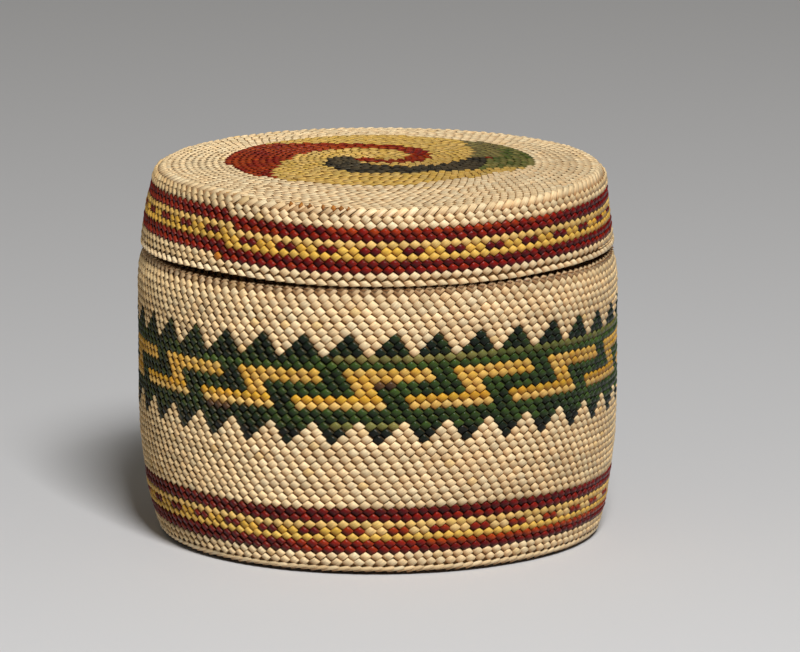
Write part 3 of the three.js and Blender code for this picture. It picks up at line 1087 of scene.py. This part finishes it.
def disc_stitches(disc, radii, rounds, pitch, jog, dye_of, seed, lift):
    """The stitches of a disc, round by round. Past the jog each round spirals in to the next."""
    rng = random.Random(seed)
    stitches = []
    for row, (radius, turns) in enumerate(zip(radii, rounds)):
        tones = strand_runs(seed * 100 + row, *wrap_runs)
        step = whole_turn / len(turns)
        for turn in turns:
            passed = 0 if jog is None else ((turn - jog) / whole_turn) % 1
            inward = passed + wave(turn, row, *course_waves) * disc_waver
            own_radius = max(radius - pitch * inward, pitch * smallest_round)
            size = (own_radius * step, pitch, lift * rng.uniform(*disc_thickness))
            stitches.append(stitch(
                *disc.place(own_radius, turn, lift), size, dye_of(own_radius, turn, rng),
                next(tones), rng, disc_tone_depth))
    return stitches


def even_turns(count, start=0.0):
    return [start + whole_turn * place / count for place in range(count)]


shoulder = Disc(["shoulder_course"], shoulder_radii[-1], shoulder_radii[0], samples=6)
shoulder_rounds = round_turns(shoulder_radii, even_turns(body_columns, body_column_start),
                              stitch_width)
# The shoulder's wraps are browned as painted shade under the lid.
shoulder_stitches = disc_stitches(
    shoulder, shoulder_radii, shoulder_rounds, shoulder_pitch, None,
    lambda radius, turn, rng: natural_dye(rng).lerp(dyes["bark"], shoulder_painted_shade), 31,
    shoulder_lift)
shoulder_piece = woven("shoulder_rounds", wrap, shoulder_stitches, grass, 31)
settle_body(shoulder_piece)
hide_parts("shoulder_course")
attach(shoulder_piece, "body")

collar_courses = 9
collar_columns = 132
collar_waver = 0.05
collar_core_shade = 0.7
twine_lift = 0.4 * millimetre
twine_corners = (((-0.6, -0.1), (-0.12, -0.52)), ((0.12, 0.52), (0.6, 0.1)))
twine_rise = ((-1, 0.05), (-0.55, 0.75), (0, 1), (0.55, 0.75), (1, 0.05))
twine = strand_form("twine", twine_corners, 0.5, along=twine_rise, across=twine_rise)


def bark_dye(*_):
    """Bare bark strands, from tan to brown."""
    return mixed("bark", "natural", bark_rng.uniform(-0.3, 0.5))


bark_rng = random.Random(5)
collar_stitches = []
collar_outer, collar_inner = [Wall(["collar"], collar_courses, facing) for facing in (1, -1)]
for wall in (collar_outer, collar_inner):
    collar_spiral = Spiral(wall, collar_columns, body_jog, 0, 0)
    collar_stitches += wall_stitches(collar_spiral, range(collar_courses), bark_dye,
                                     32 + wall.facing, collar_waver, lift=twine_lift)
collar = woven("collar_twining", twine, collar_stitches, bark, 32)
collar_core = turned(
    "collar_core",
    [[(collar_outer.radius(0) - twine_lift, collar_outer.foot),
      (collar_outer.radius(collar_courses) - twine_lift, collar_outer.top),
      (collar_inner.radius(collar_courses) + twine_lift, collar_outer.top),
      (collar_inner.radius(0) + twine_lift, collar_outer.foot)]],
    collar_columns, bark, lambda *_: dyes["old_bark"] * collar_core_shade)
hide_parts("collar")
for piece in (collar, collar_core):
    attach(piece, "body")

binding_corners = (((-0.62, -100), (0.3, -100)), ((-0.3, 100), (0.62, 100)))
binding_columns = 118
binding_strand = strand_form("binding_strand", binding_corners, 0.1, turned_round=True,
                             along=twine_rise)
binding_low, binding_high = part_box("collar_binding")
binding_half = (binding_high.z - binding_low.z) / 2
binding_radius = binding_high.x - binding_half
binding_rng = random.Random(33)
binding_stitches = []
binding_size = (binding_radius * whole_turn / binding_columns, binding_half, binding_half)
for turn in even_turns(binding_columns):
    point = out_at(turn) * binding_radius + Vector((0, 0, binding_low.z + binding_half))
    binding_stitches.append(stitch(
        point, Vector((0, 0, 1)), along_at(turn), binding_size, natural_dye(binding_rng),
        binding_rng.uniform(-1, 1), binding_rng))
binding = woven("collar_binding_cord", binding_strand, binding_stitches, grass, 33,
                uneven_size=0.03, uneven_turn=0.04)
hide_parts("collar_binding")
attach(binding, "body")

# The base: strips of bark are plaited over and under one another in the middle, and rounds of
# two-strand twining go out from there to the heel. It is all of bare bark, without a pattern.
base_pitch = 1.6 * millimetre
base_stitch_width = 2.4 * millimetre
base_lift = 0.5 * millimetre
plait_strip = 2.9 * millimetre
plait_lift = 0.5 * millimetre
strip_width_share = 0.96
strip_length_share = 1.5
plait_spread = 0.4
core_hole = 0.2 * millimetre
base_core_shade = 0.6
base_core_steps = 12

start_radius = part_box("base_start")[1].x
base_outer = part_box("base_rounds")[1].x
base_rows = round((base_outer - start_radius) / base_pitch)
base_under, base_top = [Disc(["base_start", "base_rounds"], 0, base_outer - base_pitch / 2, facing)
                        for facing in (-1, 1)]
base_radii = [base_outer - base_pitch * (row + 0.5) for row in range(base_rows)]
first_count = round(whole_turn * base_radii[0] / base_stitch_width)
base_turns = round_turns(base_radii, even_turns(first_count), base_stitch_width)
base_stitches = []
for seed, face in ((34, base_under), (35, base_top)):
    base_stitches += disc_stitches(face, base_radii, base_turns, base_pitch, 0, bark_dye, seed,
                                   base_lift)
base_piece = woven("base_twining", twine, base_stitches, bark, 34)
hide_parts("base_rounds")
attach(base_piece, "body")


def disc_core(name, disc_above, disc_below, outer, inset_above, inset_below, steps, segments,
              dye_of):
    """The layer between the two faces of a disc."""
    radii = [core_hole + (outer - core_hole) * step / steps for step in range(steps + 1)]
    under = [(radius, disc_below.height(radius) + inset_below) for radius in radii]
    over = [(radius, disc_above.height(radius) - inset_above) for radius in reversed(radii)]
    return turned(name, [under + over], segments, bark, dye_of)


base_core = disc_core("base_core", base_top, base_under, base_outer, base_lift, base_lift,
                      base_core_steps, core_segments, lambda *_: dyes["old_bark"] * base_core_shade)
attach(base_core, "body")

strip = strand_form("plait_strip", back_corners, 0.15,
                    along=((-1, 0.04), (-0.6, 0.9), (0, 1), (0.6, 0.9), (1, 0.04)))
plait_rng = random.Random(36)
plait_stitches = []
plait_size = (plait_strip * strip_width_share, plait_strip * strip_length_share, plait_lift)
reach = int(start_radius / plait_strip) + 1
for face in (base_top, base_under):
    for i in range(-reach, reach + 1):
        for j in range(-reach, reach + 1):
            x, y = i * plait_strip, j * plait_strip
            radius = math.hypot(x, y)
            if radius > start_radius + base_pitch * plait_spread:
                continue
            along = Vector((1, 0, 0)) if (i + j) % 2 else Vector((0, 1, 0))
            point = Vector((x, y, face.height(radius) - face.facing * plait_lift))
            plait_stitches.append(stitch(
                point, Vector((0, 0, face.facing)), along, plait_size, bark_dye(),
                plait_rng.uniform(-1, 1), plait_rng))
base_plait = woven("base_plait", strip, plait_stitches, bark, 36,
                   uneven_size=0.02, uneven_turn=0.02)
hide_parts("base_start")
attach(base_plait, "body")

# The lid's wall: ten courses of wraps over a braided rim. Its strand climbs to the right, from the
# rim up over the corner, and the same border as the body's goes round it.
lid_wall_nodes = {
    "lid_lower_band": ((0, 1), "natural_grass"),
    "lid_border_band": (range(2, 9), "red_grass"),
    "lid_upper_band": ((9, 10), "natural_grass"),
}
lid_courses = 11
lid_pitch_share = 0.98
lid_columns = 136
lid_jog = math.radians(-38.7)
lid_jog_lean = math.radians(0.6)
lid_column_start = math.radians(-7.91)
lid_turn_in = (0.35 * millimetre, 1.5 * millimetre)
rim_corners = (((-0.66, 0.26), (-0.44, -0.5)), ((-0.02, 0.6), (0.62, -0.28)))
rim_level = -0.02
rim_height_share = 1.08
rim_lift_share = 1.15


def lid_red_brightness(row_from_top, right):
    """The red of the lid's border: brightest at the top, right of the middle, and in its lowest
    row."""
    if row_from_top == 0:
        return 0.8 if -12 < right < 50 else 0.3
    if row_from_top == 1:
        return 0.7 if -38.7 < right < -12 else 0.5 if right < 50 else 0.3
    return 0.25 if row_from_top == 5 else 0.55


def lid_dye(row, column, turn, rng):
    """What the wraps of the lid's wall are dyed, row by row from the rim. The lowest red row begins
    with one faded stitch."""
    if row == 2 and turn - lid_spiral.jog_of(row) < lid_spiral.step:
        return mixed("amber", "brick", 0.2)
    if row in range(2, 9):
        dye = border_dye(8 - row, column, turn, rng, dice_columns=(0, 1),
                         brightness=lid_red_brightness, golden_to=0)
        return shaded_at_sides(dye, turn)
    return shaded_at_sides(natural_dye(rng), turn)


lid_wall = Wall([*lid_wall_nodes, "lid_selvage"], lid_courses)
lid_wall.radii += [lid_wall.radii[-1] - gone_in for gone_in in lid_turn_in]
lid_wall.bend = lid_courses
lid_wall.pitch *= lid_pitch_share
lid_spiral = Spiral(lid_wall, lid_columns, lid_jog, lid_jog, lid_column_start, lid_jog_lean, 8)

# How the lid's courses wave: for each turn, how far they are lifted at the rim, in the border, at
# the corner and over it, and how far the corner stands out, in millimetres. The rim stands a little
# off the shoulder at the left.
lid_waves = (
    (-180, 0, 0, 0, 0.2, 0), (-120, 0, 0.3, 0.3, 0.5, -0.2), (-80, 0, 0.6, 0.5, 0.8, -0.35),
    (-70, 0.05, 0.75, 0.7, 1, -0.35), (-60, 0.3, 0.75, 0.8, 1.15, -0.2),
    (-49, 0.55, 0.75, 0.85, 1.25, 0), (-39, 0.55, 0.65, 0.8, 1.2, 0),
    (-35, 0.5, 0.6, 0.75, 0.85, 0), (-30, 0.4, 0.5, 0.7, 0.7, 0), (-20, 0.1, 0.35, 0.4, 0.4, 0),
    (-10, 0, 0.15, 0.15, 0.15, 0), (0, 0, 0, 0, 0, 0), (20, 0, 0, 0, 0, 0),
    (33, 0.1, 0.05, 0, 0.05, 0.05), (45, 0.3, 0.1, 0, 0.15, 0.2), (61, 0.3, 0.1, 0.1, 0.35, 0.4),
    (81, 0.1, 0.1, 0.2, 0.6, 0.6), (120, 0, 0, 0.1, 0.5, 0.5), (150, 0, 0, 0, 0.3, 0.2),
    (180, 0, 0, 0, 0.2, 0),
)
over_the_corner = 1.2 * millimetre


def settle_lid(piece):
    """Lifts a level piece of the lid into its waves."""
    *lifts, out = columns_of(lid_waves, millimetre)
    heights = (lid_wall.foot, (lid_wall.foot + lid_wall.top) / 2, lid_wall.top,
               lid_wall.top + over_the_corner)
    settle(piece, heights, lifts, [still] * 4, (still, still, out, out),
           over_the_top=(lid_wall.top - millimetre, lid_wall.radii[-1]))


for seed, (name, (rows, slot)) in enumerate(lid_wall_nodes.items()):
    stitches = wall_stitches(lid_spiral, rows, lid_dye, seed + 40, wall_waver,
                             lowest=1, highest=lid_courses * 2)
    band = woven("woven_" + name, wrap, stitches, grass, seed + 40)
    settle_lid(band)
    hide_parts(name)
    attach(band, "lid")

rim_strand = strand_form("rim_strand", rim_corners, 0.3)
rim_rng = random.Random(44)
rim_stitches = []
rim_tones = strand_runs(44, *cord_runs)
rim_size = (lid_wall.radius(0) * whole_turn / lid_columns, lid_wall.pitch * rim_height_share,
            wrap_lift * rim_lift_share)
for turn in even_turns(lid_columns):
    point, outward, along, _ = lid_wall.place(rim_level, turn, wrap_lift)
    rim_stitches.append(stitch(point, outward, along, rim_size, natural_dye(rim_rng),
                               next(rim_tones), rim_rng))
lid_rim = woven("lid_rim_braid", rim_strand, rim_stitches, grass, 44,
                uneven_size=0.06, uneven_turn=0.05)
settle_lid(lid_rim)
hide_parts("lid_selvage")
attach(lid_rim, "lid")

# The lid's corner: one thick course of twining lies where the wall turns over into the top. It is
# a course further in when it comes round, and ends over its own beginning. In front it is worn.
corner_corners = (((-0.97, -0.36), (-0.25, -0.6)), ((0.25, 0.6), (0.97, 0.36)))
corner_rise = ((-1, 0.12), (-0.7, 0.45), (-0.2, 0.75), (0.3, 0.96), (0.65, 1), (0.88, 0.86),
               (1, 0.5))
# For each share of the turn: its radius and height in millimetres, and how far it looks up.
corner_places = ((0, 40.9, 67, 45), (0.3, 40.75, 67.15, 50), (0.9, 40.2, 67.45, 64),
                 (0.97, 40.1, 67.5, 66), (1, 39.7, 67.6, 70), (1.03, 39.2, 67.7, 75))
corner_overlap = 3
corner_tall = 2.05 * millimetre
corner_lift = 0.5 * millimetre
corner_core_depth = 1.0 * millimetre
corner_core_radius = 0.6 * millimetre
worn_from, worn_to = -23.5, -6
worn_spot_step = 2.6
worn_turned_up = 1.3
worn_width_share = 0.5
worn_height_share = 0.42
worn_shift_share = 0.2
worn_sunk_share = 0.5


def corner_path(passed):
    """Where the face of the corner course is, when a share of its turn has passed."""
    shares, *columns = zip(*corner_places)
    radius, height, tilt = [float(numpy.interp(passed, shares, column)) for column in columns]
    return radius * millimetre, height * millimetre, math.radians(tilt)


def corner_dye(turn, rng):
    """What the corner course is dyed: it is browned where it is worn."""
    if worn_from < front_degrees(turn) < worn_to:
        return mixed("natural", "bark", rng.uniform(0, 0.35))
    return natural_dye(rng)


corner_strand = strand_form("corner_strand", corner_corners, 0.1, along=corner_rise)
corner_course = thick_course(
    "lid_corner_course_strands", corner_strand, lid_columns, corner_overlap, lid_jog, corner_path,
    corner_tall, corner_lift, corner_dye, 45)
corner_core = thick_course_core("lid_corner_core", lid_jog, corner_path, corner_core_depth,
                                corner_core_radius, core_dye)
worn_rng = random.Random(47)
worn_stitches = []
worn_radius, worn_height, worn_tilt = corner_path(0)
worn_tilt *= worn_turned_up
worn_size = (corner_tall * worn_width_share, corner_tall * worn_height_share, corner_lift)
worn_shift = corner_tall * worn_shift_share
for place in range(round((worn_to - worn_from) / worn_spot_step)):
    turn = math.radians(worn_from + worn_spot_step * (place + worn_rng.uniform(0.2, 0.8)))
    outward = out_at(turn) * math.cos(worn_tilt) + Vector((0, 0, math.sin(worn_tilt)))
    point = (out_at(turn) * (worn_radius - worn_shift)
             + Vector((0, 0, worn_height + worn_shift)) - outward * corner_lift * worn_sunk_share)
    worn_stitches.append(stitch(point, outward, along_at(turn), worn_size,
                                mixed("amber", "bark", worn_rng.uniform(0.4, 0.9)), 0, worn_rng))
worn_spots = woven("lid_corner_worn_spots", wrap, worn_stitches, grass, 47,
                   uneven_size=0.2, uneven_turn=0.2)
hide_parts("lid_corner_course")
for piece in (corner_course, corner_core, worn_spots):
    settle_lid(piece)
    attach(piece, "lid")

# The lid's top: rounds of the same wraps spiral in to the middle of a low dome. Two arms, one red
# and one black and green, whirl out of the middle over a yellow ground.
round_pitch = 1.25 * millimetre
top_lift = 0.3 * millimetre
edge_rise = 0.2 * millimetre
edge_sharpness = 8
top_core_steps = 30
top_shade = Vector((0.55, 0.42, 0.27))
# How much lighter the top's natural wraps are painted: painted light on the face turned up to the
# lamp.
top_painted_light = 1.08
ground_shade = 0.9
flat_rise = ((-1, 0.4), (-0.8, 0.66), (-0.3, 0.82), (0.3, 0.95), (0.7, 1), (1, 0.5))
flat_crown = ((-1, 0.55), (-0.8, 0.94), (0, 1), (0.8, 0.94), (1, 0.55))
top_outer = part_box("lid_natural_rounds")[1].x
whirl_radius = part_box("lid_whirl_rounds")[1].x
top_start_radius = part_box("lid_start")[1].x
top_nodes = ["lid_start", "lid_whirl_rounds", "lid_natural_rounds"]
# How far out the yellow ground goes at each turn, in degrees from the front and millimetres, and
# the inner and outer reach of each arm at each angle round from where it begins.
ground_reach = ((-180, 28), (-90, 28), (-60, 26.5), (-40, 25.2), (-20, 24.1), (0, 23.7),
                (40, 23.3), (59, 24.1), (70, 26.3), (85, 29), (110, 29), (140, 28), (180, 28))
red_reach = ((-200, 1.5, 3.8), (-140, 0.8, 4), (-90, 0, 3.9), (-45, 1.5, 6.3), (0, 4.5, 9.5),
             (45, 8, 12.5), (90, 10.6, 15.5), (115, 12.2, 19), (128, 13, 24), (140, 13.8, 29),
             (180, 16.5, 29), (200, 20, 29), (215, 23.6, 29), (230, 26.5, 29), (239, 25.5, 27.6))
dark_reach = ((-20, 4, 7), (0, 4.5, 9.3), (45, 5, 12), (70, 5.6, 13.8), (90, 6.2, 14),
              (126, 9.3, 15.4), (145, 11.3, 18.1), (160, 13.2, 22), (167, 14.2, 25.7),
              (173, 14.9, 29), (199, 18.8, 29), (223, 22.6, 29), (236, 28, 29))
# Where the dark arm is dull, green, or mixed with red: from an angle on, in degrees, and within or
# outside a distance, in millimetres.
dull_from, dull_within = 190, 22.5
green_from, green_outside = 130, 20
red_from, red_within, red_share = 172, 23, 0.4


def in_arm(away, angle, reach_table):
    """How far round an arm a place on the top lies, in degrees, or None if it isn't in the arm. The
    arm may pass its angle more than once."""
    angles, inner, outer = zip(*reach_table)
    for wound in (angle - 360, angle, angle + 360):
        if angles[0] <= wound < angles[-1] and (
                numpy.interp(wound, angles, inner) <= away < numpy.interp(wound, angles, outer)):
            return wound
    return None


def top_dye(radius, turn, rng):
    """What the wraps of the lid's top are dyed. The dark arm is green where it is wide, faded at
    its edge, and has a few red wraps at its tip."""
    away = radius / millimetre
    if away > numpy.interp(front_degrees(turn), *zip(*ground_reach)):
        # The natural ground is painted lighter, as painted light on the upturned top.
        return natural_dye(rng) * top_painted_light
    if in_arm(away, front_degrees(turn - math.pi / 2), red_reach) is not None:
        return mixed("red", "brick", rng.uniform(-0.3, 1.3))
    wound = in_arm(away, front_degrees(turn + math.pi / 2), dark_reach)
    if wound is None:
        return mixed("straw", "yellow", rng.uniform(0.2, 1.1)) * ground_shade
    if wound > dull_from and away * math.cos(math.radians(wound - 180)) < dull_within:
        return mixed("slate", "olive", rng.uniform(0.3, 0.8))
    if wound > green_from and away > green_outside:
        if away < red_within and wound > red_from and rng.random() < red_share:
            return mixed("red", "bark", rng.uniform(0.2, 0.6))
        return mixed("leaf", "olive", rng.uniform(0, 0.9))
    return mixed("slate", "black", rng.uniform(-0.7, 0.9))


top = Disc(top_nodes, 0, top_outer)
top.heights = [height + edge_rise * (place / (len(top.heights) - 1)) ** edge_sharpness
               for place, height in enumerate(top.heights)]
flat_corners = (((-0.6, -0.12), (-0.1, -0.78)), ((0.1, 0.76), (0.6, 0.12)))
flat_wrap = strand_form("flat_wrap", flat_corners, 0.1, along=flat_rise, across=flat_crown)
# The same dust and painted shade at each strand's end, and the same painted highlight on its fold.
top_grass = strand_material("top_grass", fibres_across=7, contrast=0.3, smoothest=0.22,
                            roughest=0.46, dust_and_shade_end=0.45, highlight_strength=0.3)
top_radii = []
radius = top_outer
while radius > round_pitch:
    top_radii.append(radius)
    radius -= round_pitch
first_turns = [turn for _, turn, _ in lid_spiral.stitches_of(lid_courses + 1)]
top_rounds = round_turns(top_radii, first_turns, stitch_width)
top_stitches = disc_stitches(top, top_radii, top_rounds, round_pitch, lid_jog, top_dye, 46,
                             top_lift)
parts_of_top = (
    ("lid_natural_rounds", "natural_grass", whirl_radius, math.inf),
    ("lid_whirl_rounds", "yellow_grass", top_start_radius, whirl_radius),
    ("lid_start", "yellow_grass", 0, top_start_radius),
)
for seed, (name, slot, inner, outer) in enumerate(parts_of_top):
    stitches = [made for made in top_stitches if inner <= math.hypot(*made["place"].xy) < outer]
    piece = woven("woven_" + name, flat_wrap, stitches, top_grass, seed + 46,
                  uneven_size=0.04, uneven_turn=0.04)
    settle_lid(piece)
    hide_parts(name)
    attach(piece, "lid")

# The inside of the lid: strips of bark run down its wall and in to its middle, with the stiff weft
# and the backs of the wraps over them, as inside the body.
under_top = Disc(["lid_warps"], 0, top_outer - round_pitch, -1)
lid_shell = wall_shell("bark_strips_of_lid", lid_spiral, lid_dye, 50)
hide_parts("lid_warps")
lid_weft = weft_rings("wefts_of_lid", lid_spiral, 51)
lid_backs = wall_backs("wrap_backs_of_lid", lid_spiral, lid_dye, 52)
under_rng = random.Random(53)


def top_core_dye(turn, radius, height, _):
    """The dyes of the top in the shade above, and bark below."""
    if height > under_top.height(radius) + wrap_lift / 2:
        return top_dye(radius, turn, under_rng) * top_shade
    return mixed("bark", "natural", under_rng.uniform(-0.2, 0.3))


top_core = disc_core("bark_strips_of_top", top, under_top, top_outer, top_lift, weft_depth,
                     top_core_steps, lid_columns, top_core_dye)
under_stitches = disc_stitches(under_top, top_radii[1:], top_rounds[1:], round_pitch, lid_jog,
                               top_dye, 54, weft_depth)
top_backs = woven("wrap_backs_of_top", back, under_stitches, grass, 54)
for piece, slot in ((lid_shell, "cedar_bark"), (lid_weft, "cedar_bark"),
                    (lid_backs, "natural_grass"), (top_core, "cedar_bark"),
                    (top_backs, "natural_grass")):
    settle_lid(piece)
    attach(piece, "lid")
